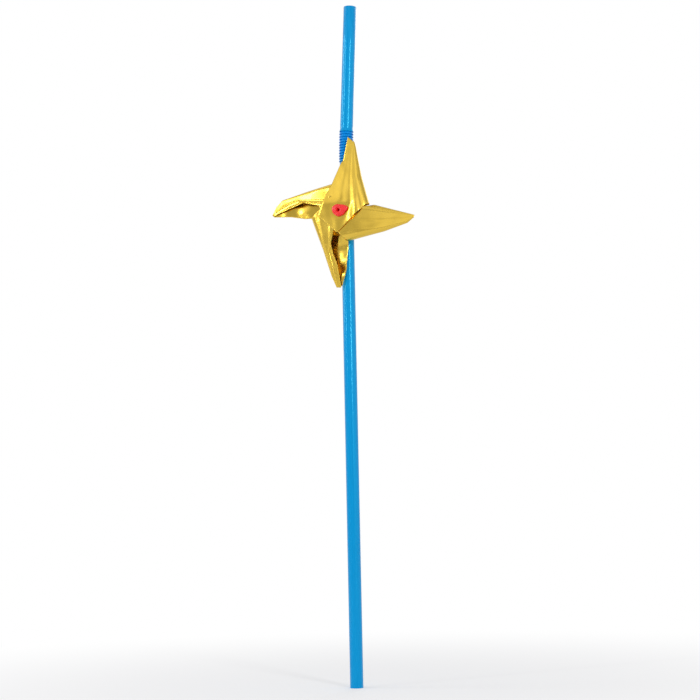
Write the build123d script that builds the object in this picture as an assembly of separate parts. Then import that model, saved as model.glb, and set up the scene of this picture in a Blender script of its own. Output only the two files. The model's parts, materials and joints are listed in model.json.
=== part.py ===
from build123d import *
import os

# A pinwheel drinking straw: a flexible straw with a folded foil wheel riveted to its front.
# Millimetres. The origin is the centre of the straw's cut lower end, +Z runs up the lower tube,
# the wheel faces -Y, and the neck bends towards +X.

# ---- the straw's tubes ----
tube_od = 5.0
tube_wall = 0.2
lower_length = 201.1      # from the foot to the neck
mouth_length = 47.5       # plain tube above the neck

# ---- the neck: a stack of thin cones, each standing over the one below ----
cone_count = 11           # loose cones; the mouth tube's own skirt stands over the last one
cone_pitch = 1.06         # rise from one rim to the next with the neck pushed together
cone_length = 1.6
rim_stands_out = 0.3      # of the tube's wall
root_drawn_in = 0.3
cone_wall = 0.15
neck_gap = 0.4            # from the lower tube's shoulder to the first rim
shoulder_length = 0.8     # from a cone's root out to the full tube
rest_lean = 2.9           # the neck's bend at rest, in degrees, shared by its hinges

# ---- the axle: a soft plastic tube through both walls, with a head melted on each end ----
axle_below_neck = 20.25
axle_r = 1.1
axle_bore_r = 0.5
axle_fit = 0.05           # radial play in the straw's two holes
head_r = 2.45
head_thickness = 1.3
head_round = 0.55
rear_head_r = 2.0
rear_head_thickness = 1.0
waist_depth = 0.25        # the straw is drawn in a little where the heads pinch it
waist_length = 6.0
waist_ramp = 0.8
head_seat_gap = 0.03

# ---- the foil wheel: one square sheet, cut from its corners, with four corners folded in ----
foil_thickness = 0.15
wheel_stand_off = 0.8     # from the straw's front to the sheet
wheel_fit = 0.08          # radial running play on the axle
wheel_end_play = 0.25     # from the top flap to the head
uncut_r = 6.0             # the middle of the sheet, which the four cuts stop short of
tip_reach = 28.9          # from the axle to a blade's tip
tip_height = 0.9
tip_open_x = 1.4
tip_crest_x = 4.2
wing_open_x = -2.0        # the sheet's cut side, outside its neighbour's fold
wing_from = 12.4
inner_open_x = -1.7       # the same side, inside its neighbour's fold
notch_reach = 2.0         # where the folded edge ends, measured along the blade
notch_crest_x = 11.3      # and across it
flap_level_from = 6.0     # the flap runs level from here inwards, over the axle
corner_x = -2.0           # the folded corner, past the axle
corner_y = -8.7
lowest_flap = 3.9         # height of the first flap on the axle
flap_step = 0.56          # each further flap lies this much higher

# ---- values that follow ----
tube_r = tube_od / 2
bore_r = tube_r - tube_wall
cone_rim_r = tube_r + rim_stands_out
cone_root_r = tube_r - root_drawn_in
cone_slope = (cone_rim_r - cone_root_r) / cone_length
first_rim = lower_length + neck_gap
hinge_count = (cone_count + 1) // 2
hinge_lean = rest_lean / hinge_count
waist_r = tube_r - waist_depth
axle_height = lower_length - axle_below_neck
sheet_offset = tube_r + wheel_stand_off
top_flap = lowest_flap + 3 * flap_step
head_offset = sheet_offset + top_flap + wheel_end_play
axle_hole_r = axle_r + axle_fit
hub_hole_r = axle_r + wheel_fit


def ring(*outline):
    """A solid of revolution about Z, from (radius, height) points."""
    return revolve(Plane.XZ * make_face(Polyline(*outline, close=True)), Axis.Z)


def neck_places():
    """The place of each rim above the lower tube: cones first, the mouth tube's skirt last."""
    place = Pos(0, 0, first_rim)
    places = []
    for index in range(cone_count + 1):
        if index % 2 == 0:
            pivot = Pos(cone_rim_r, 0, 0)
            place = place * pivot * Rot(0, hinge_lean, 0) * pivot.inverse()
        places.append(place)
        place = place * Pos(0, 0, cone_pitch)
    return places


def lower_tube():
    """The long tube, with a stub cone at its neck end, a waist and two holes for the axle."""
    rim_r = cone_rim_r - cone_slope * cone_pitch
    stub_top = first_rim + cone_length - cone_pitch
    waist_low = axle_height - waist_length / 2
    waist_high = axle_height + waist_length / 2
    outside = [
        (tube_r, 0),
        (tube_r, waist_low),
        (waist_r, waist_low + waist_ramp),
        (waist_r, waist_high - waist_ramp),
        (tube_r, waist_high),
        (tube_r, lower_length),
        (rim_r, first_rim),
        (cone_root_r, stub_top),
    ]
    inside = [(cone_root_r - cone_wall, stub_top), (rim_r - cone_wall, first_rim)]
    inside += [(r - tube_wall, z) for r, z in reversed(outside[:6])]
    tube = ring(*outside, *inside)
    drill = Pos(0, 0, axle_height) * Rot(90, 0, 0) * Cylinder(axle_hole_r, 2 * tube_od)
    return tube - drill


def neck_cone():
    """One cone of the neck, rim down."""
    return ring(
        (cone_rim_r, 0),
        (cone_root_r, cone_length),
        (cone_root_r - cone_wall, cone_length),
        (cone_rim_r - cone_wall, 0),
    )


def mouth_tube():
    """The short tube to drink from: a skirt like the cones below, then plain tube."""
    shoulder = cone_length + shoulder_length
    return ring(
        (cone_rim_r, 0),
        (cone_root_r, cone_length),
        (tube_r, shoulder),
        (tube_r, shoulder + mouth_length),
        (bore_r, shoulder + mouth_length),
        (bore_r, shoulder),
        (cone_root_r - cone_wall, cone_length),
        (cone_rim_r - cone_wall, 0),
    )


def disc(radius, thickness, at=0.0):
    """A round plate or rod that stands on the height it is given."""
    return Pos(0, 0, at) * Cylinder(radius, thickness, align=(Align.CENTER, Align.CENTER, Align.MIN))


def axle_rivet():
    """The hollow axle along Z, +Z to the front, with its two melted heads."""
    rear = -(waist_r + head_seat_gap + rear_head_thickness)
    front = head_offset + head_thickness
    shaft = disc(axle_r, front - rear, rear)
    head = disc(head_r, head_thickness, head_offset)
    head = fillet(head.edges().sort_by(Axis.Z)[-1], head_round)
    tail = disc(rear_head_r, rear_head_thickness, rear)
    tail = fillet(tail.edges().sort_by(Axis.Z)[0], head_round)
    return shaft + head + tail - disc(axle_bore_r, front - rear, rear)


def along_blade(y, at_tip, at_notch):
    """A value that runs straight from the blade's tip to its notch."""
    share = (tip_reach - y) / (tip_reach - notch_reach)
    return at_tip + share * (at_notch - at_tip)


def flap_height(y, height):
    """The flap rises evenly from the tip, then runs level over the axle."""
    share = min(1, (tip_reach - y) / (tip_reach - flap_level_from))
    return tip_height + share * (height - tip_height)


def free_edge(y, at_level):
    """The flap's free edge runs straight from the tip to where the flap becomes level."""
    share = min(1, (tip_reach - y) / (tip_reach - flap_level_from))
    return tip_open_x + share * (at_level - tip_open_x)


def fold_section(y, open_x, free_x, height):
    """The folded sheet cut across at y: flat strip, round fold, flap."""
    crest_x = along_blade(y, tip_crest_x, notch_crest_x)
    z = flap_height(y, height)
    bend_x = crest_x - z / 2
    t = foil_thickness
    edges = [
        Line((open_x, 0), (bend_x, 0)),
        ThreePointArc((bend_x, 0), (crest_x, z / 2), (bend_x, z)),
        Line((bend_x, z), (free_x, z)),
        Line((free_x, z), (free_x, z - t)),
        Line((free_x, z - t), (bend_x, z - t)),
        ThreePointArc((bend_x, z - t), (crest_x - t, z / 2), (bend_x, t)),
        Line((bend_x, t), (open_x, t)),
        Line((open_x, t), (open_x, 0)),
    ]
    across = Plane(origin=(0, y, 0), x_dir=(1, 0, 0), z_dir=(0, -1, 0))
    return across * make_face(edges)


def foil_blade(height, free_x, outer_corners):
    """One folded quarter of the sheet: tip towards +Y, fold on the +X side, flap over the axle."""
    def section(y, open_x):
        return fold_section(y, open_x, free_edge(y, free_x), height)

    wing = loft([section(tip_reach, tip_open_x), section(wing_from, wing_open_x)], ruled=True)
    fold = loft([section(wing_from, inner_open_x), section(flap_level_from, inner_open_x)], ruled=True)
    notch = loft([section(flap_level_from, inner_open_x), section(notch_reach, inner_open_x)], ruled=True)
    bend_x = along_blade(notch_reach, tip_crest_x, notch_crest_x) - height / 2
    fold_end = [(bend_x, flap_level_from), (bend_x, notch_reach)]
    outline = [(free_x, flap_level_from), *fold_end, (corner_x, corner_y), *outer_corners]
    flap_face = make_face(Polyline(*outline, close=True))
    tab = extrude(Pos(0, 0, height - foil_thickness) * flap_face, foil_thickness)
    middle = disc(uncut_r, 2 * foil_thickness, -foil_thickness / 2)
    return wing + fold + notch - middle + tab - Cylinder(hub_hole_r, 4 * top_flap)


def foil_centre():
    """The uncut middle of the sheet, with the axle's hole."""
    return disc(uncut_r, foil_thickness) - disc(hub_hole_r, foil_thickness)


# name: (turn clockwise from the top, place in the pile, flap's free edge, flap's outer corners)
blades = {
    "foil_blade_top": (0, 3, -5.6, [(-5.9, -7.1), (-9.4, -1.9)]),
    "foil_blade_right": (90, 2, -1.0, [(-6.0, -5.0), (-5.0, 2.0)]),
    "foil_blade_bottom": (180, 1, 2.5, [(-6.0, -5.0), (-5.0, 2.0)]),
    "foil_blade_left": (270, 0, 2.5, [(-6.0, -5.0), (-5.0, 2.0)]),
}

facing = Plane(origin=(0, 0, axle_height), x_dir=(1, 0, 0), z_dir=(0, -1, 0))
on_sheet = Plane(origin=(0, -sheet_offset, axle_height), x_dir=(1, 0, 0), z_dir=(0, -1, 0))


def build():
    """Every piece of the model, by name, in its place."""
    pieces = {"lower_tube": lower_tube()}
    places = neck_places()
    for index, place in enumerate(places[:-1]):
        pieces[f"neck_cone_{index + 1:02d}"] = place * neck_cone()
    pieces["mouth_tube"] = places[-1] * mouth_tube()
    pieces["axle_rivet"] = facing.location * axle_rivet()
    pieces["foil_centre"] = on_sheet.location * foil_centre()
    for name, (turn, pile, free_x, corners) in blades.items():
        blade = foil_blade(lowest_flap + pile * flap_step, free_x, corners)
        pieces[name] = on_sheet.location * Rot(0, 0, -turn) * blade
    return pieces


os.makedirs("parts", exist_ok=True)
for name, piece in build().items():
    export_step(piece, f"parts/{name}.step")
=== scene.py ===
# %% [markdown]
# # A pinwheel drinking straw
# A bendy straw carries a small wheel folded from gold film, which spins on a melted plastic rivet.
# The engineering model already fixes every size and every joint. It could be shown as it is, but its
# film is stiff and its neck is a stack of bare cones. So each piece gets a finely shaped skin here,
# which rides on the same body and keeps to the same sizes. We begin by loading that model.

# %% Load the frame
import json
import math
import bmesh
import bpy
from mathutils import Matrix, Vector, noise


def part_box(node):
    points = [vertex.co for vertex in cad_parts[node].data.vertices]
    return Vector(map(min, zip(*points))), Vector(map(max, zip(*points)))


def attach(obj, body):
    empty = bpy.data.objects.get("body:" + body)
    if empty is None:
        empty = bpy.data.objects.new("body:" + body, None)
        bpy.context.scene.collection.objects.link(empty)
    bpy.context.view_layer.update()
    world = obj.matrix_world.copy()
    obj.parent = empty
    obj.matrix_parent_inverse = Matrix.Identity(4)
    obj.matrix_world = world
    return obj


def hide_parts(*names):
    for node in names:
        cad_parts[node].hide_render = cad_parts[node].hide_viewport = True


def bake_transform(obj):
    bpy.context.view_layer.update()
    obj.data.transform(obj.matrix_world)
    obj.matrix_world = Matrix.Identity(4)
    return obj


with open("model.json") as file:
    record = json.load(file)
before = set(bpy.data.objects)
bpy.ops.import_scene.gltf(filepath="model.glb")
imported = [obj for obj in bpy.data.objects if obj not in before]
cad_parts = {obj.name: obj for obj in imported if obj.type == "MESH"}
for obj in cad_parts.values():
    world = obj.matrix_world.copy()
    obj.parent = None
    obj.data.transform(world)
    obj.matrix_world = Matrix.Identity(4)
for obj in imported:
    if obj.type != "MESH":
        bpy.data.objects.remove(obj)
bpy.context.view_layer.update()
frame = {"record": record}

mm = 0.001
joints = {joint["name"]: joint for joint in frame["record"]["behaviour"]["joints"]}
mounts = {mount["name"]: mount for mount in frame["record"]["mounts"]}

# %% [markdown]
# ## The sizes that everything hangs from
# On the real straw the tube is one extruded length, so its radius rules all the rest. The sizes could
# be typed in again, but then they might drift from the model. It is safer to read them from the
# mounts and joints: the foot gives the tube, the wheel's joint gives the axle, and the first hinge of
# the neck gives how far its folds stand out.

# %% Read the sizes
tube_r = mounts["straw_foot"]["dims"]["r_mm"] * mm
bore_r = mounts["foot_bore"]["dims"]["r_mm"] * mm
tube_wall = tube_r - bore_r
axle = Vector(joints["wheel_spin"]["pos_m"])
rim_r = joints["neck_bend_1"]["pos_m"][0]
root_r = tube_r - 0.3 * mm
cone_length = 1.6 * mm
pivots = [Vector(joints[f"neck_bend_{k}"]["pos_m"]) for k in range(1, 7)]
rises = [Vector(joints[f"neck_stretch_{k}"]["axis"]).normalized() for k in range(1, 7)]
pitch = (pivots[1] - pivots[0]).length / 2
first_rim = pivots[0].z
print("tube", tube_r, "wall", round(tube_wall, 6), "axle", tuple(axle), "pitch", round(pitch, 6))

# %% [markdown]
# ## Colour and nodes
# Paint charts and screens give colours as sRGB hex values, while the renderer mixes light in linear
# numbers. One function turns the first into the second. A second small function adds a node, sets it
# and links it, so that each finish below reads as a short recipe.


# %% Helpers for materials
def linear(hex_colour):
    """An sRGB hex colour as linear red, green, blue and alpha."""
    parts = [int(hex_colour[i:i + 2], 16) / 255 for i in (1, 3, 5)]
    return [c / 12.92 if c <= 0.04045 else ((c + 0.055) / 1.055) ** 2.4 for c in parts] + [1.0]


def add_node(tree, kind, inputs=None, **settings):
    """Adds a node. A value that is a socket is linked, and any other is set."""
    made = tree.nodes.new(kind)
    for name, value in settings.items():
        setattr(made, name, value)
    for socket, value in (inputs or {}).items():
        if isinstance(value, bpy.types.NodeSocket):
            tree.links.new(value, made.inputs[socket])
        else:
            made.inputs[socket].default_value = value
    return made


def new_material(name):
    """An empty node material, with the object's own coordinates and its output ready."""
    material = bpy.data.materials.new(name)
    material.use_nodes = True
    tree = material.node_tree
    tree.nodes.clear()
    place = add_node(tree, "ShaderNodeTexCoord").outputs["Object"]
    end = add_node(tree, "ShaderNodeOutputMaterial")
    return material, tree, place, end.inputs["Surface"]


def blend_colours(tree, share, low, high):
    """A colour that runs from low to high as the share goes from 0 to 1."""
    ramp = add_node(tree, "ShaderNodeValToRGB", {"Fac": share})
    ramp.color_ramp.elements[0].color = linear(low)
    ramp.color_ramp.elements[1].color = linear(high)
    return ramp.outputs["Color"]


print("helpers ready; mid grey", [round(c, 3) for c in linear("#808080")])

# %% [markdown]
# ## Extruded polypropylene
# The straw is dyed polypropylene, pushed hot through a round die. The die leaves faint lines that run
# along the tube, and the skin is glossy but not like glass. The lines could be modelled, but they are
# a few hundredths of a millimetre deep, so stretched noise in the colour and the bump is the better
# way. Real die lines are some 0.1 mm apart; they are drawn 0.5 mm apart, as finer ones can't be seen.
# Light also glances off the inner wall and comes back through the dye, so the gloss is tinted.
# The neck has the same plastic, but crimping stretches it, and its folds hold a deeper blue.


# %% The straw's finish
def polypropylene(name, shade, light, roughness):
    """Glossy dyed polypropylene with die lines along Z."""
    line_spacing = 0.5 * mm
    material, tree, place, surface = new_material(name)
    along = add_node(tree, "ShaderNodeMapping", {"Vector": place, "Scale": (1, 1, 0.015)})
    lines = add_node(tree, "ShaderNodeTexNoise", {
        "Vector": along.outputs["Vector"], "Scale": 1 / line_spacing, "Detail": 1.0, "Roughness": 0.5})
    bump = add_node(tree, "ShaderNodeBump", {
        "Height": lines.outputs["Fac"], "Strength": 0.25, "Distance": 0.015 * mm})
    gloss = add_node(tree, "ShaderNodeMapRange", {
        "Value": lines.outputs["Fac"], "To Min": roughness - 0.04, "To Max": roughness + 0.06})
    skin = add_node(tree, "ShaderNodeBsdfPrincipled", {
        "Base Color": blend_colours(tree, lines.outputs["Fac"], shade, light),
        "Roughness": gloss.outputs["Result"], "Normal": bump.outputs["Normal"],
        "IOR": 1.49, "Specular IOR Level": 0.75, "Specular Tint": (0.16, 0.85, 0.95, 1.0)})
    tree.links.new(skin.outputs["BSDF"], surface)
    return material


straw_blue = polypropylene("extruded_polypropylene", "#008ACE", "#009ADC", 0.14)
neck_blue = polypropylene("crimped_polypropylene", "#0080D8", "#008EE6", 0.28)
print("made", straw_blue.name, neck_blue.name)

# %% [markdown]
# ## Metallised film
# The wheel is cut from gold gift film: clear polyester with a breath of aluminium and a yellow
# lacquer on it. It is a mirror that handling has dulled and dimpled. A plain gold metal looks like
# brass plate, so the film gets three things: a satin roughness that wanders over centimetres, soft
# dimples about 4 mm apart, and a fine crackle of just under a millimetre where fingers have been.
# A real crackle is finer still, but below that size it only turns to glitter. The clear polyester
# over the metal adds a faint white gloss of its own, which is the coat.


# %% The film's finish
def metallised_film():
    """Gold mirror film, a little dulled and dimpled by handling."""
    material, tree, place, surface = new_material("gold_metallised_film")
    haze_width, dimple_width, crackle_width = 11 * mm, 4 * mm, 0.9 * mm
    dull = add_node(tree, "ShaderNodeTexNoise", {
        "Vector": place, "Scale": 1 / haze_width, "Detail": 2.0})
    dimple = add_node(tree, "ShaderNodeTexNoise", {
        "Vector": place, "Scale": 1 / dimple_width, "Detail": 1.0})
    crackle = add_node(tree, "ShaderNodeTexNoise", {
        "Vector": place, "Scale": 1 / crackle_width, "Detail": 1.0})
    soft = add_node(tree, "ShaderNodeBump", {
        "Height": dimple.outputs["Fac"], "Strength": 0.4, "Distance": 0.10 * mm})
    fine = add_node(tree, "ShaderNodeBump", {
        "Height": crackle.outputs["Fac"], "Strength": 0.04, "Distance": 0.02 * mm,
        "Normal": soft.outputs["Normal"]})
    gloss = add_node(tree, "ShaderNodeMapRange", {
        "Value": dull.outputs["Fac"], "From Min": 0.3, "From Max": 0.7, "To Min": 0.15, "To Max": 0.25})
    skin = add_node(tree, "ShaderNodeBsdfPrincipled", {
        "Base Color": blend_colours(tree, dull.outputs["Fac"], "#E4BC3C", "#F2CE54"),
        "Metallic": 1.0, "Roughness": gloss.outputs["Result"], "Normal": fine.outputs["Normal"],
        "Coat Weight": 0.25, "Coat Roughness": 0.08, "Coat IOR": 1.6})
    tree.links.new(skin.outputs["BSDF"], surface)
    return material


gold_film = metallised_film()
print("made", gold_film.name)

# %% [markdown]
# ## Melted polyethylene
# The rivet is a bit of soft red tube whose ends were pressed with a hot tool. Melted polyethylene
# sets with a wet gloss over an uneven skin, and a little light travels inside it. Coarse noise of
# about a millimetre gives the sagging skin, and finer noise gives the pits that bubbles leave.


# %% The rivet's finish
def melted_plastic():
    """Glossy red plastic with the uneven skin of a melted end."""
    material, tree, place, surface = new_material("melted_polyethylene")
    sag_width, pit_width = 1.1 * mm, 0.3 * mm
    sag = add_node(tree, "ShaderNodeTexNoise", {
        "Vector": place, "Scale": 1 / sag_width, "Detail": 2.0})
    pits = add_node(tree, "ShaderNodeTexNoise", {
        "Vector": place, "Scale": 1 / pit_width, "Detail": 1.0})
    soft = add_node(tree, "ShaderNodeBump", {
        "Height": sag.outputs["Fac"], "Strength": 0.6, "Distance": 0.25 * mm})
    fine = add_node(tree, "ShaderNodeBump", {
        "Height": pits.outputs["Fac"], "Strength": 0.25, "Distance": 0.04 * mm,
        "Normal": soft.outputs["Normal"]})
    skin = add_node(tree, "ShaderNodeBsdfPrincipled", {
        "Base Color": blend_colours(tree, sag.outputs["Fac"], "#E8141C", "#FF3434"),
        "Roughness": 0.3, "IOR": 1.51, "Subsurface Weight": 0.15,
        "Subsurface Radius": (1.2 * mm, 0.3 * mm, 0.2 * mm), "Normal": fine.outputs["Normal"]})
    tree.links.new(skin.outputs["BSDF"], surface)
    return material


rivet_red = melted_plastic()
print("made", rivet_red.name)

# %% [markdown]
# ## From an outline to a piece
# Tubes, folds and the rivet are all turned shapes, so one outline of radius and height, spun round
# once, makes each of them. The seam of a full spin has to be merged, and the normals are set right
# before the wall gets its thickness. A tube could also come from a ready-made cylinder, but an
# outline holds the waist, the shoulder and the rounded lip in one go. Every finished piece sits at
# the origin with its place in its mesh, as the frame's own pieces do.


# %% Helpers for meshes
def spin_outline(outline, steps=96, closed=False):
    """A bmesh spun once about Z from (radius, height) points."""
    bm = bmesh.new()
    points = [bm.verts.new((r, 0, z)) for r, z in outline]
    pairs = list(zip(points, points[1:])) + ([(points[-1], points[0])] if closed else [])
    edges = [bm.edges.new(pair) for pair in pairs]
    bmesh.ops.spin(bm, geom=points + edges, cent=(0, 0, 0), axis=(0, 0, 1), dvec=(0, 0, 0),
                   angle=2 * math.pi, steps=steps, use_merge=True)
    bmesh.ops.remove_doubles(bm, verts=bm.verts, dist=0.0005 * mm)
    bmesh.ops.recalc_face_normals(bm, faces=bm.faces)
    return bm


def thicken(bm, wall):
    """Gives an open sheet a wall, on the side that its normals point away from."""
    bmesh.ops.solidify(bm, geom=bm.faces[:], thickness=wall)
    return bm


def make_piece(name, bm, material, crisp=40):
    """Turns a bmesh into a smooth object with crisp edges where it turns by more than the angle."""
    mesh = bpy.data.meshes.new(name)
    bm.to_mesh(mesh)
    bm.free()
    mesh.materials.append(material)
    mesh.shade_smooth()
    mesh.set_sharp_from_angle(angle=math.radians(crisp))
    piece = bpy.data.objects.new(name, mesh)
    bpy.context.scene.collection.objects.link(piece)
    return piece


def arc(centre, radius, start, stop, count=5):
    """Points of an outline on an arc, with angles in degrees."""
    turns = [math.radians(start + (stop - start) * i / (count - 1)) for i in range(count)]
    return [(centre[0] + radius * math.cos(t), centre[1] + radius * math.sin(t)) for t in turns]


def size_mm(piece):
    """A piece's size along X, Y and Z, in millimetres."""
    return [round(d / mm, 2) for d in piece.dimensions]


print("mesh helpers ready")

# %% [markdown]
# ## The long tube
# The lower tube is a plain pipe as far as the rivet, which pinches it into a shallow waist. At the
# top its wall steps in to the first fold of the neck. The rivet passes through two punched holes.
# They could be cut with a boolean, but that leaves ragged triangles on a thin wall. Taking out the
# few faces round the rivet, and moving the edge of the gap onto a circle, gives a clean rim.

# %% Build the long tube
waist_half, waist_ramp, waist_depth = 3.0 * mm, 0.8 * mm, 0.25 * mm
shaft_r = 1.1 * mm
hole_r = shaft_r + 0.05 * mm
stub_rim_r = rim_r - (rim_r - root_r) * pitch / cone_length


def waist_radius(height):
    """The tube's radius near the rivet, with soft ramps into the waist."""
    share = (waist_half - abs(height - axle.z)) / waist_ramp
    share = min(1.0, max(0.0, share))
    return tube_r - waist_depth * share * share * (3 - 2 * share)


def punch(bm, radius, reach):
    """Opens a round hole along Y through the sheet, at the axle."""
    def off(co):
        return math.hypot(co.x, co.z - axle.z)
    inside = [f for f in bm.faces if off(f.calc_center_median()) < radius]
    bmesh.ops.delete(bm, geom=inside, context="FACES")
    for vert in bm.verts:
        if vert.is_boundary and off(vert.co) < reach:
            stretch = radius / max(off(vert.co), 1e-6)
            vert.co.x *= stretch
            vert.co.z = axle.z + (vert.co.z - axle.z) * stretch


waist_rows = [axle.z + (i / 20 - 1) * (waist_half + 0.4 * mm) for i in range(41)]
outline = [(tube_r, 0.0), (tube_r, 0.06), (tube_r, 0.12)]
outline += [(waist_radius(z), z) for z in waist_rows]
shoulder_z = first_rim - 0.4 * mm
outline += [(tube_r, shoulder_z - 0.15 * mm), (tube_r - 0.03 * mm, shoulder_z), (stub_rim_r, first_rim)]
outline += [(root_r, first_rim + cone_length - pitch)]
bm = spin_outline(outline)
punch_reach, waist_r = 1.6 * mm, tube_r - waist_depth
punch(bm, hole_r, punch_reach)
for vert in bm.verts:
    if vert.is_boundary and math.hypot(vert.co.x, vert.co.z - axle.z) < punch_reach:
        vert.co.y = math.copysign(math.sqrt(waist_r ** 2 - vert.co.x ** 2), vert.co.y)
thicken(bm, tube_wall)
lower_skin = make_piece("lower_tube_skin", bm, straw_blue)
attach(lower_skin, "lower_tube")
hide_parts("lower_tube")

# %% [markdown]
# ## The neck's places
# A bendy neck is a bellows: each ring tucks into the next, and the straw bends where one side of
# the rings opens. The model hinges every second ring at its rim and slides the others along their
# own axis. So the place of each ring follows from the joints: the lean from the slide's axis, and
# the middle of the rim from the hinge.


# %% Find the place of each ring
def ring_place(index):
    """The matrix of ring 0 to 11, counted up from the long tube; 11 is the mouth tube's skirt."""
    pair, upper = divmod(index, 2)
    up = rises[pair]
    across = Vector((up.z, 0, -up.x))
    middle = pivots[pair] - across * rim_r + up * (pitch * upper)
    turn = Matrix((across, Vector((0, 1, 0)), up)).transposed().to_4x4()
    return Matrix.Translation(middle) @ turn


ring_count = 12
chain = ["lower_tube"] + [f"neck_cone_{i:02d}" for i in range(1, ring_count)] + ["mouth_tube"]
places = [ring_place(i) for i in range(ring_count)]
print("first ring", tuple(round(c / mm, 3) for c in places[0].translation),
      "last", tuple(round(c / mm, 3) for c in places[-1].translation))

# %% [markdown]
# ## The rings of the neck
# Heat and a ribbed mould give each ring a rounded lip and a wall that leans in to its root. A sharp
# cone edge would read as sheet metal, so the lip is an arc that turns under. One outline serves all
# eleven rings, and each one rides on its own link of the chain.

# %% Build the rings
lip_r = 0.11 * mm
ring_wall = 0.09 * mm       # thin, so that the rings clear the folded walls inside them
lean = math.atan2(rim_r - root_r, cone_length)


def lip_outline(top):
    """The outline of a ring from its rounded lip up to the given points."""
    lip = arc((rim_r - lip_r, lip_r), lip_r, -140, math.degrees(lean) * 0.5, 8)
    return lip + top


wall_heights = (0.55 * mm, 1.0 * mm, 1.35 * mm, cone_length)
ring_outline = lip_outline([(rim_r - (rim_r - root_r) * z / cone_length, z) for z in wall_heights])
for i in range(1, ring_count):
    bm = spin_outline(ring_outline, steps=72)
    thicken(bm, ring_wall)
    bmesh.ops.transform(bm, matrix=places[i - 1], verts=bm.verts)
    ring = make_piece(f"neck_ring_{i:02d}", bm, neck_blue, crisp=60)
    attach(ring, chain[i])
    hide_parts(f"neck_cone_{i:02d}")
print("rings", ring_count - 1, "box mm", size_mm(ring))

# %% [markdown]
# ## The walls folded up between the rings
# In the closed neck a short wall runs back from the root of one ring, inside the next, down to that
# one's lip. It shows only when the neck is pulled out or bent, and it has to stretch then. It could
# be left out, as it is in the model, but then the open neck would show gaps. Each wall is placed once
# between the ring below and the ring above, as they stand in the closed neck.

# %% Build the folded walls
fold_top, fold_low = cone_length, pitch + 0.1 * mm
fold_inner_r, fold_run, fold_wall = root_r - 0.02 * mm, rim_r - 0.16 * mm - root_r, 0.06 * mm
for i in range(ring_count):
    fold_rows = [(fold_inner_r + fold_run * s, fold_top + (fold_low - fold_top) * s)
                 for s in (0.0, 0.2, 0.4, 0.6, 0.8, 1.0)]
    bm = spin_outline(fold_rows, steps=72)
    thicken(bm, fold_wall)
    below = places[i] @ Matrix.Translation((0, 0, -pitch))
    bmesh.ops.transform(bm, matrix=below, verts=bm.verts)
    wall = make_piece(f"neck_fold_{i + 1:02d}", bm, neck_blue, crisp=60)
    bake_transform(wall)
print("folded walls", ring_count)

# %% [markdown]
# ## The mouth tube
# The last ring widens again into a plain tube, and that is the end to drink from. The knife leaves
# it square, with an edge that is only just broken.

# %% Build the mouth tube
mouth_top = Vector(mounts["mouth_end"]["pos_m"])
mouth_length = (mouth_top - places[-1].translation).length
shoulder = cone_length + 0.8 * mm
skirt = [(rim_r - 0.16 * mm, 0.5 * mm), (tube_r + 0.03 * mm, 0.95 * mm), (tube_r - 0.05 * mm, 1.3 * mm)]
outline = lip_outline(skirt + [(tube_r - 0.04 * mm, 1.9 * mm), (tube_r, shoulder)])
outline += [(tube_r, shoulder + (mouth_length - shoulder) * s) for s in (0.03, 0.33, 0.66)]
outline += [(tube_r, mouth_length - 0.04 * mm), (tube_r - 0.03 * mm, mouth_length)]
bm = spin_outline(outline)
thicken(bm, tube_wall)
bmesh.ops.transform(bm, matrix=places[-1], verts=bm.verts)
mouth_skin = make_piece("mouth_tube_skin", bm, straw_blue, crisp=50)
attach(mouth_skin, "mouth_tube")
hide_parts("mouth_tube")
print(mouth_skin.name, "box mm", size_mm(mouth_skin))

# %% [markdown]
# ## The melted rivet
# The rivet was a short tube before a hot tool spread its ends. So it has a small hole down the
# middle, a thick rounded rim that sagged off centre, and a thin flash of plastic squeezed out to one
# side. It is spun first as a regular rivet, and then its front is pushed about with a few smooth
# waves round the axis, which is how a melt differs from a moulding.

# %% Build the rivet
low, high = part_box("axle_rivet")
front, back = low[1], high[1]
head_r, head_thick = 2.45 * mm, 1.3 * mm
tail_r, tail_thick = 2.0 * mm, 1.0 * mm
bore = 0.5 * mm
top = axle.y - front            # from the wheel's sheet to the top of the head
tail = axle.y - back
seat, collar, round_r = top - head_thick, tail + tail_thick, 0.5 * mm
outline = [(bore, tail + 0.1 * mm)]
outline += arc((tail_r - round_r, tail + round_r), round_r, -90, 75, 7)
outline += [(tail_r - 0.25 * mm, collar), (shaft_r + 0.05 * mm, collar)]
outline += [(shaft_r, collar + 0.1 * mm), (shaft_r, 0.0), (shaft_r, seat - 0.1 * mm)]
outline += [(shaft_r + 0.08 * mm, seat)]
outline += arc((head_r - 0.52 * mm, seat + round_r), round_r, -88, 80, 9)
outline += [(head_r - 0.75 * mm, top - 0.17 * mm), (head_r - 1.05 * mm, top - 0.06 * mm)]
outline += [(1.1 * mm, top - 0.05 * mm), (0.85 * mm, top - 0.13 * mm), (0.66 * mm, top - 0.36 * mm)]
outline += [(bore, top - 0.8 * mm), (bore, 0.0)]
melt_waves = ((2, 0.045, 0.7), (3, 0.05, -1.1), (7, 0.02, 0.0))     # waves round, size, shift
bm = spin_outline(outline, steps=64, closed=True)
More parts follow.
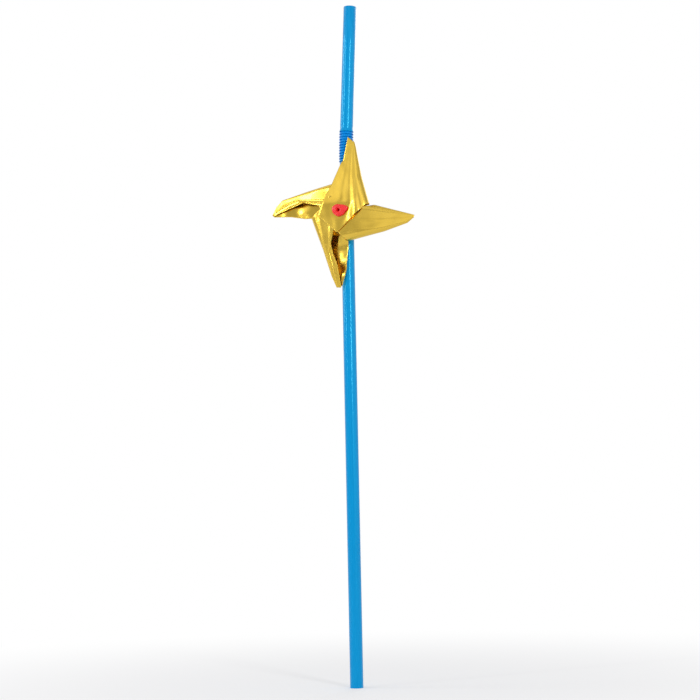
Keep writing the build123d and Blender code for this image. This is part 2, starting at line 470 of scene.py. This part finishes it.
for vert in bm.verts:
    out, height = math.hypot(vert.co.x, vert.co.y), vert.co.z
    if height > top - 1.6 * mm and out > bore * 0.9:
        turn = math.atan2(vert.co.y, vert.co.x)
        grip = min(1.0, max(0.0, (height - (top - 1.5 * mm)) / (0.5 * mm)))
        rim = min(1.0, max(0.0, (out - shaft_r) / (head_r - shaft_r)))
        flash = math.exp(-((turn - 0.3) / 0.4) ** 2) * 0.30
        wave = sum(size * math.cos(count * turn + shift) for count, size, shift in melt_waves)
        scale = 1 + grip * rim * (wave + flash)
        vert.co.x *= scale * (1 + 0.15 * grip * rim)
        vert.co.y *= scale
        vert.co.z -= grip * rim * mm * (0.16 + 0.12 * math.cos(turn + 2.2) + 0.75 * flash)
        if out < 1.3 * mm:
            vert.co.x -= grip * 0.12 * mm * (height > top - 1.0 * mm)
upright = Matrix.Translation(axle) @ Matrix.Rotation(math.radians(90), 4, "X")
bmesh.ops.smooth_vert(bm, verts=[v for v in bm.verts if v.co.z > top - 1.2 * mm], factor=0.35,
                      use_axis_x=True, use_axis_y=True, use_axis_z=True)
bmesh.ops.transform(bm, matrix=upright, verts=bm.verts)
bmesh.ops.recalc_face_normals(bm, faces=bm.faces)
rivet = make_piece("melted_rivet", bm, rivet_red, crisp=70)
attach(rivet, "lower_tube")
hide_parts("axle_rivet")
print(rivet.name, "box mm", size_mm(rivet))

# %% [markdown]
# ## How the film folds
# The wheel is one square of film, cut in from its corners. One corner of each quarter is brought
# over to the middle and caught under the rivet. Film can't stretch, so a folded quarter is part of a
# cone: straight lines run down it from the blade's tip. That gives the way to build it. A flat grid
# is laid out with its rows along the blade, and each row is bent to the section at its place: flat
# base, round bend, and flap. Three lines from the tip steer it: the base's open edge, the crest of the
# bend, and the flap's free edge; a fourth runs to the folded corner. All are given in millimetres,
# with X towards the fold and Y towards the tip.


# %% Read a line down the blade
def along(line, share):
    """The point at a share of the way down a line of points."""
    spans = [math.dist(a, b) for a, b in zip(line, line[1:])]
    left = share * sum(spans)
    for a, b, span in zip(line, line[1:], spans):
        if left <= span:
            return a[0] + (b[0] - a[0]) * left / span, a[1] + (b[1] - a[1]) * left / span
        left -= span
    return line[-1]


def smooth(low, high, value):
    """A soft step from 0 to 1 as the value goes from low to high."""
    t = min(1.0, max(0.0, (value - low) / (high - low)))
    return t * t * (3 - 2 * t)


tip_reach, level_from, tip_height = 28.9, 3.0, 0.5
rounding = 0.18             # how much of the rise is held back where the flap turns level


def flap_height(y, level):
    """The flap rises evenly from the tip and turns softly level before the axle."""
    share = min(1.0, max(0.0, (tip_reach - y) / (tip_reach - level_from)))
    return tip_height + ((1 + rounding) * share - rounding * share ** 4) * (level - tip_height)


print("flap height half way down the top blade", round(flap_height(17, 5.58), 2))

# %% [markdown]
# ## The four quarters
# No two quarters of a hand-folded wheel are alike. The top one was folded last: its flap is broad and
# nearly flat, and covers the rivet's seat. The right one is much like it. The bottom one gapes, so
# that one looks into its pocket, and the left one is crumpled where it was pressed. Each gets its own
# lines, its height in the pile, and its own creases: a place across the flap, a depth and a width.
# The curl is one more such ridge, at the cut edge only. The crumple is the height of the film's fine
# waves, and the pocket that of the dents in its open base.

# %% Describe the quarters
quarters = {
    "top": dict(
        turn=0, level=5.58, seed=3.0, crumple=0.05, curl=(0.12, 0.7, 0.14),
        open=[(1.9, 28.6), (-2.0, 12.4), (-1.7, 6.0), (-1.7, 2.0)],
        crest=[(4.8, 27.5), (5.4, 25.6), (7.9, 13.6), (11.2, 2.0)],
        tail=[(3.4, 28.6), (1.6, 14.0), (-1.2, -8.6)],
        free=[(2.2, 29.5), (2.0, 23.8), (1.4, 20.0), (0.2, 19.2), (-3.2, 10.8), (-6.6, 4.6),
              (-8.8, -1.3)],
        creases=[(0.10, 0.05, 0.03), (0.22, -0.05, 0.03), (0.62, 0.04, 0.10)]),
    "right": dict(
        turn=90, level=5.02, seed=8.0, crumple=0.04, curl=(0.1, 0.1, 0.1),
        open=[(3.2, 28.2), (-2.0, 12.4), (-1.7, 6.0), (-1.7, 2.0)],
        crest=[(4.2, 28.2), (6.2, 25.6), (8.9, 16.5), (11.7, 2.0)],
        tail=[(3.6, 28.5), (2.4, 14.0), (-2.0, -8.7)],
        free=[(3.4, 28.6), (-0.4, 13.6), (-1.4, 9.0), (-4.6, 3.0), (-6.0, -4.0)],
        creases=[(0.3, 0.05, 0.05), (0.96, 0.30, 0.10)]),
    "bottom": dict(
        turn=180, level=4.46, seed=14.0, crumple=0.04, pocket=1.1, curl=(0.1, 0.1, 0.1),
        open=[(1.4, 28.4), (-0.8, 22.0), (-1.4, 12.4), (-1.7, 6.0), (-1.7, 2.0)],
        crest=[(3.6, 29.0), (5.4, 24.5), (8.3, 14.2), (12.4, 2.0)],
        tail=[(2.2, 29.2), (5.2, 14.0), (-2.0, -8.7)],
        free=[(1.6, 29.0), (2.5, 20.6), (3.9, 16.3), (5.2, 8.0), (1.0, 4.5), (-6.0, -4.0)],
        creases=[(0.35, 0.14, 0.06), (0.8, -0.10, 0.06)]),
    "left": dict(
        turn=270, level=3.9, seed=21.0, crumple=0.06, pocket=0.5, curl=(0.1, 0.1, 0.1),
        open=[(0.6, 29.2), (0.0, 21.8), (-1.2, 16.0), (-1.7, 6.0), (-1.7, 2.0)],
        crest=[(1.4, 29.8), (4.4, 28.1), (6.9, 25.3), (9.2, 14.5), (11.6, 2.0)],
        tail=[(1.0, 29.6), (4.8, 16.0), (-2.0, -8.7)],
        free=[(0.9, 29.5), (2.6, 24.0), (4.6, 19.0), (4.9, 14.5), (4.3, 7.0), (-1.0, 4.0),
              (-6.0, -4.0)],
        creases=[(0.3, 0.22, 0.05), (0.55, -0.22, 0.06), (0.85, 0.2, 0.05)]),
}
base_cells, bend_cells, flap_cells, rows = 16, 16, 36, 84
cut_slope = 0.85            # how steeply the cut edge runs back from the fold to the corner
base_bow = 0.12             # mm that the open base bows forward
knee = 0.6                  # share of the flap's width that lies before its corner
sheet_lift = 0.06           # mm from the model's sheet plane to the middle of the film
print("quarters", list(quarters))


# %% Bend a grid into a quarter
def section_point(q, share, column):
    """A point of the folded film, in the quarter's own frame, in millimetres."""
    open_x, open_y = along(q["open"], share)
    crest_x, crest_y = along(q["crest"], share)
    tail_x, tail_y = along(q["tail"], share)
    free_x, free_y = along(q["free"], share)
    height = flap_height(crest_y, q["level"])
    bend = height / 2
    skew = cut_slope * smooth(0.6, 1.0, share)
    if column <= base_cells:
        t = column / base_cells
        x, y = open_x + (crest_x - bend - open_x) * t, open_y + (crest_y - open_y) * t
        return x, y, base_bow * math.sin(math.pi * t) * share, 0.0
    if column <= base_cells + bend_cells:
        turn = math.pi * (column - base_cells) / bend_cells
        inward = bend - bend * math.sin(turn)
        over = smooth(0.3, 1.0, column / bend_cells - base_cells / bend_cells)
        return crest_x - inward, crest_y - inward * skew * over, bend - bend * math.cos(turn), 0.0
    t = (column - base_cells - bend_cells) / flap_cells
    start, mid, end = (crest_x - bend, crest_y - bend * skew), (tail_x, tail_y), (free_x, free_y)
    a, b, s = (start, mid, t / knee) if t < knee else (mid, end, (t - knee) / (1 - knee))
    x, y = a[0] + (b[0] - a[0]) * s, a[1] + (b[1] - a[1]) * s
    return x, y, flap_height(y, q["level"]), t


def shape_quarter(q):
    """One folded quarter as an open sheet, facing +Z, tip towards +Y."""
    columns = base_cells + bend_cells + flap_cells
    bm = bmesh.new()
    bmesh.ops.create_grid(bm, x_segments=columns, y_segments=rows, size=0.5)
    for vert in bm.verts:
        column = round((vert.co.x + 0.5) * columns)
        share = 0.5 - vert.co.y
        x, y, z, t = section_point(q, share, column)
        away = smooth(2.6, 5.0, math.hypot(x, y))
        ends = smooth(0.0, 0.25, share)
        drift = noise.noise(Vector((x / 7, y / 9, q["seed"])))
        ripple = noise.noise(Vector((x / 2.4, y / 4, q["seed"] + 5)))
        lift = (1.3 * drift + ripple) * q["crumple"] * away * (0.3 + 0.7 * ends)
        if column < base_cells:
            dent = noise.noise(Vector((x / 4, y / 5.5, q["seed"] + 9)))
            opening = smooth(6.5, 9.0, y) * (1 - column / base_cells)
            lift += q.get("pocket", 0.0) * (0.35 + dent) * ends * opening
        where, depth, width = q["curl"]
        lift += depth * smooth(0.8, 1.0, share) * math.exp(-((t - where) / width) ** 2) * away * (t > 0)
        for where, depth, width in q["creases"]:
            if t > 0:
                lift += depth * math.exp(-((t - where) / width) ** 2) * ends * away
        vert.co = Vector((x, y, z + sheet_lift + lift)) * mm
    return bm


def seat_on_axle(bm, radius, reach):
    """Opens the hole that the rivet's shaft passes through, at the quarter's origin."""
    inside = [f for f in bm.faces if f.calc_center_median().xy.length < radius]
    bmesh.ops.delete(bm, geom=inside, context="FACES")
    for vert in bm.verts:
        if vert.is_boundary and vert.co.xy.length < reach:
            flat = vert.co.xy.normalized() * radius
            vert.co.x, vert.co.y = flat.x, flat.y
    return bm


film = 0.1 * mm
facing = Matrix.Translation(axle) @ Matrix.Rotation(math.radians(90), 4, "X")
for side, q in quarters.items():
    bm = shape_quarter(q)
    seat_on_axle(bm, shaft_r + 0.08 * mm, 1.9 * mm)
    bmesh.ops.recalc_face_normals(bm, faces=bm.faces)
    clockwise = Matrix.Rotation(math.radians(-q["turn"]), 4, "Z")
    bmesh.ops.transform(bm, matrix=facing @ clockwise, verts=bm.verts)
    blade = make_piece(f"film_{side}", bm, gold_film, crisp=75)
    wall = blade.modifiers.new("film_thickness", "SOLIDIFY")
    wall.thickness, wall.offset = film, 0.0
    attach(blade, "foil_wheel")
    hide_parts(f"foil_blade_{side}")
    print(blade.name, "box mm", size_mm(blade), "faces", len(blade.data.polygons))

# %% [markdown]
# ## The uncut middle
# The four cuts stop short of the middle, which stays one piece of film and carries the quarters. It
# is only seen from behind and between the folds. A flat washer would do, but the pull of four folds
# dishes it slightly, so its edge lies a little further back than its hole.

# %% Build the middle
middle_r, inner_r, edge_drop = 6.2 * mm, 1.18 * mm, 0.06 * mm
outline = [(inner_r + (middle_r - inner_r) * s, 0.03 * mm - edge_drop * s * s)
           for s in (0, 0.25, 0.5, 0.75, 1)]
bm = spin_outline(outline, steps=72)
thicken(bm, film)
bmesh.ops.transform(bm, matrix=facing, verts=bm.verts)
middle = make_piece("film_middle", bm, gold_film, crisp=75)
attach(middle, "foil_wheel")
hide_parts("foil_centre")
print(middle.name, "box mm", size_mm(middle))

# %% [markdown]
# ## Floor, light and camera
# The straw stands on a white table in a white room. Two narrow soft boxes, one on each side of the
# camera, draw the bright lines down the tube; a broad one on the left and one behind fill the shade.
# A mirror shows only what stands round it, so the room that reflections see is not quite even: broad
# grey patches in it model the folds of the film. The table turns to plain white away from the straw,
# so that it has no edge. The camera looks from a little to the right and a little below.

# %% Build the floor
bm = bmesh.new()
bmesh.ops.create_circle(bm, cap_ends=True, segments=96, radius=1.2)
mesh = bpy.data.meshes.new("floor")
bm.to_mesh(mesh)
bm.free()
floor = bpy.data.objects.new("floor", mesh)
bpy.context.scene.collection.objects.link(floor)
floor_paint, tree, place, surface = new_material("white_table_paint")
matt = add_node(tree, "ShaderNodeBsdfDiffuse", {"Color": linear("#F4F4F6")})
glow = add_node(tree, "ShaderNodeEmission", {"Color": (1, 1, 1, 1), "Strength": 1.0})
camera_ray = add_node(tree, "ShaderNodeLightPath").outputs["Is Camera Ray"]
away = add_node(tree, "ShaderNodeVectorMath", {0: place}, operation="LENGTH").outputs["Value"]
fade = add_node(tree, "ShaderNodeMapRange", {
    "Value": away, "From Min": 0.03, "From Max": 0.30, "To Min": 0.3, "To Max": 1.0},
    interpolation_type="SMOOTHSTEP")
share = add_node(tree, "ShaderNodeMath", {0: camera_ray, 1: fade.outputs[0]}, operation="MULTIPLY")
paint = add_node(tree, "ShaderNodeMixShader", {
    0: share.outputs[0], 1: matt.outputs[0], 2: glow.outputs[0]})
tree.links.new(paint.outputs[0], surface)
mesh.materials.append(floor_paint)
print("floor", [round(d, 2) for d in floor.dimensions])

# %% Build the room's light
world = bpy.data.worlds.new("white_room")
bpy.context.scene.world = world
world.use_nodes = True
tree = world.node_tree
tree.nodes.clear()
direction = add_node(tree, "ShaderNodeTexCoord").outputs["Generated"]
patches = add_node(tree, "ShaderNodeTexNoise", {"Vector": direction, "Scale": 1.7, "Detail": 0.0})
grey = add_node(tree, "ShaderNodeMapRange", {
    "Value": patches.outputs["Fac"], "From Min": 0.38, "From Max": 0.56, "To Min": 0.5, "To Max": 1.1})
paths = add_node(tree, "ShaderNodeLightPath")
room_light = 0.62
room = add_node(tree, "ShaderNodeMix", {
    0: paths.outputs["Is Glossy Ray"], 2: room_light, 3: grey.outputs[0]})
seen = add_node(tree, "ShaderNodeMath", {
    0: paths.outputs["Is Camera Ray"], 1: paths.outputs["Is Transmission Ray"]}, operation="MAXIMUM")
strength = add_node(tree, "ShaderNodeMix", {0: seen.outputs[0], 2: room.outputs[0], 3: 1.0})
background = add_node(tree, "ShaderNodeBackground", {
    "Color": (1, 1, 1, 1), "Strength": strength.outputs[0]})
add_node(tree, "ShaderNodeOutputWorld", {"Surface": background.outputs[0]})
print("world", world.name)


# %% Hang the soft boxes
lamp_aim_height = 0.15


def soft_box(name, azimuth, height, distance, width, tall, power):
    """An area lamp at an azimuth round the straw, turned to the wheel."""
    data = bpy.data.lights.new(name, "AREA")
    data.shape, data.size, data.size_y, data.energy = "RECTANGLE", width, tall, power
    lamp = bpy.data.objects.new(name, data)
    bpy.context.scene.collection.objects.link(lamp)
    turn = math.radians(azimuth)
    lamp.location = (math.sin(turn) * distance, -math.cos(turn) * distance, height)
    aim = Vector((0, 0, lamp_aim_height)) - lamp.location
    lamp.rotation_euler = aim.to_track_quat("-Z", "Y").to_euler()
    return lamp


soft_box("soft_box_right", 46, 0.36, 0.85, 0.11, 0.36, 1.9)
soft_box("soft_box_front", -38, 0.42, 0.9, 0.05, 0.42, 1.1)
soft_box("soft_box_left", -75, 0.45, 0.9, 0.30, 0.40, 1.5)
soft_box("soft_box_back", 190, 0.8, 1.1, 0.6, 0.6, 2.0)

# %% Set the camera
aim = Vector((0, 0, 0.1278))
azimuth, elevation, roll = math.radians(20), math.radians(-6), math.radians(1.16)
distance, level = 0.6, math.cos(elevation)
back = Vector((math.sin(azimuth) * level, -math.cos(azimuth) * level, math.sin(elevation)))
right = (-back).cross(Vector((0, 0, 1))).normalized()
up = right.cross(-back)
tilted_right = right * math.cos(roll) - up * math.sin(roll)
tilted_up = right * math.sin(roll) + up * math.cos(roll)
camera_data = bpy.data.cameras.new("camera")
camera_data.lens, camera_data.sensor_width = 80.2, 36.0
camera = bpy.data.objects.new("camera", camera_data)
bpy.context.scene.collection.objects.link(camera)
turn = Matrix((tilted_right, tilted_up, back)).transposed().to_4x4()
camera.matrix_world = Matrix.Translation(aim + back * distance) @ turn
bpy.context.scene.camera = camera
bpy.context.scene.view_settings.view_transform = "Standard"
print("camera at", [round(c, 3) for c in camera.matrix_world.translation])
